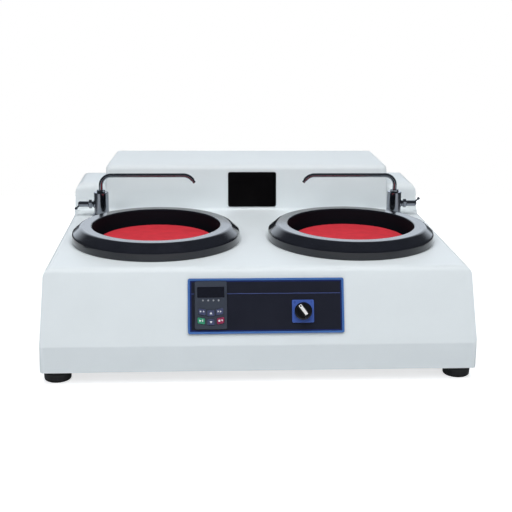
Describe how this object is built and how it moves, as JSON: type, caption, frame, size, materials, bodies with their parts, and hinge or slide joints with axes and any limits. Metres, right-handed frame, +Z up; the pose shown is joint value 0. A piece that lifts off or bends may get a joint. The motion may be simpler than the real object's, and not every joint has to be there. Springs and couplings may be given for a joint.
{
  "type": "metallographic polishing machine",
  "caption": "Bench polishing machine with two cloth-covered discs in splash rings, swivel water taps, a sloping control panel with keypad and rotary switch, and a belt drive.",
  "frame": {"origin": "on the bench, under the middle of the machine", "axes": "+X to the right as the user faces the panel, +Y from the panel to the rear, +Z up"},
  "size_m": [0.7, 0.6136, 0.2778],
  "materials": {
    "housing_shell": "smooth white gelcoat",
    "cover_paint": "white powder coat",
    "frame_steel": "grey powder coat",
    "zinc_steel": "zinc plated",
    "foot_rubber": "matt black",
    "basin_plastic": "moulded black",
    "ring_black": "glossy black moulding",
    "cast_iron": "machined casting",
    "machined_steel": "ground steel",
    "seal_rubber": "matt black",
    "drain_plastic": "grey moulding",
    "motor_paint": "blue-grey paint",
    "hose_blue": "moulded",
    "brass": "turned",
    "gland_plastic": "moulded nylon",
    "drive_plastic": "moulded",
    "panel_black": "printed film on sheet",
    "trim_blue": "printed blue",
    "keypad_grey": "fine moulded texture",
    "board_green": "solder mask",
    "window_dark": "smoked window",
    "lamp_red": "clear red lens",
    "switch_blue": "moulded blue",
    "switch_black": "moulded black",
    "pointer_white": "white inlay",
    "plaque_black": "glossy black",
    "tap_chrome": "polished chrome",
    "platen_aluminium": "turned",
    "cloth_red": "napped polishing cloth",
    "key_slate": "soft-touch key",
    "key_green": "soft-touch key",
    "key_red": "soft-touch key"
  },
  "bodies": {
    "machine": {"housing": "housing_shell", "rear_cover": "cover_paint", "base_pan": "frame_steel", "chassis_frame": "frame_steel", "case_screws": "zinc_steel", "foot_bolts": "zinc_steel", "chassis_bolts": "zinc_steel", "rubber_feet": "foot_rubber", "left_basin": "basin_plastic", "right_basin": "basin_plastic", "left_splash_ring": "ring_black", "right_splash_ring": "ring_black", "left_bearing_housing": "cast_iron", "right_bearing_housing": "cast_iron", "spindle_bearings": "machined_steel", "spindle_seals": "seal_rubber", "left_belt": "seal_rubber", "right_belt": "seal_rubber", "left_drain_pipe": "drain_plastic", "right_drain_pipe": "drain_plastic", "motor_housing": "motor_paint", "water_pipe": "hose_blue", "water_inlet": "brass", "cable_gland": "gland_plastic", "speed_drive": "drive_plastic", "control_panel": "panel_black", "panel_trim": "trim_blue", "keypad_case": "keypad_grey", "keypad_board": "board_green", "keypad_window": "window_dark", "keypad_lamps": "lamp_red", "switch_plate": "switch_blue", "switch_body": "switch_black", "plaque": "plaque_black", "left_tap_body": "tap_chrome", "right_tap_body": "tap_chrome", "tap_nuts": "tap_chrome"},
    "left_disc": {"left_platen": "platen_aluminium", "left_cloth": "cloth_red", "left_spindle": "machined_steel", "left_spindle_pulley": "cast_iron"},
    "right_disc": {"right_platen": "platen_aluminium", "right_cloth": "cloth_red", "right_spindle": "machined_steel", "right_spindle_pulley": "cast_iron"},
    "motor_rotor": {"motor_shaft": "machined_steel", "motor_pulley": "cast_iron"},
    "left_swivel_spout": {"left_spout": "tap_chrome"},
    "right_swivel_spout": {"right_spout": "tap_chrome"},
    "left_valve": {"left_tap_lever": "tap_chrome"},
    "right_valve": {"right_tap_lever": "tap_chrome"},
    "rotary_switch": {"switch_knob": "switch_black", "switch_pointer": "pointer_white"},
    "program_button": {"program_key": "key_slate"},
    "up_button": {"up_key": "key_slate"},
    "shift_button": {"shift_key": "key_slate"},
    "run_button": {"run_key": "key_green"},
    "down_button": {"down_key": "key_slate"},
    "stop_button": {"stop_key": "key_red"}
  },
  "joints": [
    {"name": "left_platen_spin", "type": "hinge", "parent": "machine", "child": "left_disc", "pos_m": [-0.172, -0.07871, 0.181], "axis": [0, 0, 1], "continuous": true},
    {"name": "right_platen_spin", "type": "hinge", "parent": "machine", "child": "right_disc", "pos_m": [0.172, -0.07871, 0.181], "axis": [0, 0, 1], "continuous": true},
    {"name": "motor_spin", "type": "hinge", "parent": "machine", "child": "motor_rotor", "pos_m": [0, 0.22579, 0.1], "axis": [0, 0, 1], "continuous": true},
    {"name": "left_spout_swivel", "type": "hinge", "parent": "machine", "child": "left_swivel_spout", "pos_m": [-0.285, 0.09678, 0.221], "axis": [0, 0, 1], "range_deg": [-190, 12]},
    {"name": "right_spout_swivel", "type": "hinge", "parent": "machine", "child": "right_swivel_spout", "pos_m": [0.285, 0.09678, 0.221], "axis": [0, 0, 1], "range_deg": [-12, 190]},
    {"name": "left_tap_turn", "type": "hinge", "parent": "machine", "child": "left_valve", "pos_m": [-0.315, 0.09678, 0.2045], "axis": [1, 0, 0], "range_deg": [-90, 0]},
    {"name": "right_tap_turn", "type": "hinge", "parent": "machine", "child": "right_valve", "pos_m": [0.315, 0.09678, 0.2045], "axis": [1, 0, 0], "range_deg": [0, 90]},
    {"name": "switch_turn", "type": "hinge", "parent": "machine", "child": "rotary_switch", "pos_m": [0.0675, -0.28814, 0.11679], "axis": [0, -0.9298, 0.3681], "range_deg": [-72, 0]},
    {"name": "program_press", "type": "slide", "parent": "machine", "child": "program_button", "axis": [0, 0.9298, -0.3681], "range_m": [0, 0.0008], "stiffness_N_per_m": 400, "springref_m": -0.0005},
    {"name": "up_press", "type": "slide", "parent": "machine", "child": "up_button", "axis": [0, 0.9298, -0.3681], "range_m": [0, 0.0008], "stiffness_N_per_m": 400, "springref_m": -0.0005},
    {"name": "shift_press", "type": "slide", "parent": "machine", "child": "shift_button", "axis": [0, 0.9298, -0.3681], "range_m": [0, 0.0008], "stiffness_N_per_m": 400, "springref_m": -0.0005},
    {"name": "run_press", "type": "slide", "parent": "machine", "child": "run_button", "axis": [0, 0.9298, -0.3681], "range_m": [0, 0.0008], "stiffness_N_per_m": 400, "springref_m": -0.0005},
    {"name": "down_press", "type": "slide", "parent": "machine", "child": "down_button", "axis": [0, 0.9298, -0.3681], "range_m": [0, 0.0008], "stiffness_N_per_m": 400, "springref_m": -0.0005},
    {"name": "stop_press", "type": "slide", "parent": "machine", "child": "stop_button", "axis": [0, 0.9298, -0.3681], "range_m": [0, 0.0008], "stiffness_N_per_m": 400, "springref_m": -0.0005}
  ],
  "couplings": [
    {"joint": "right_platen_spin", "follows": "left_platen_spin", "ratio": 1},
    {"joint": "motor_spin", "follows": "left_platen_spin", "ratio": 1.5}
  ]
}
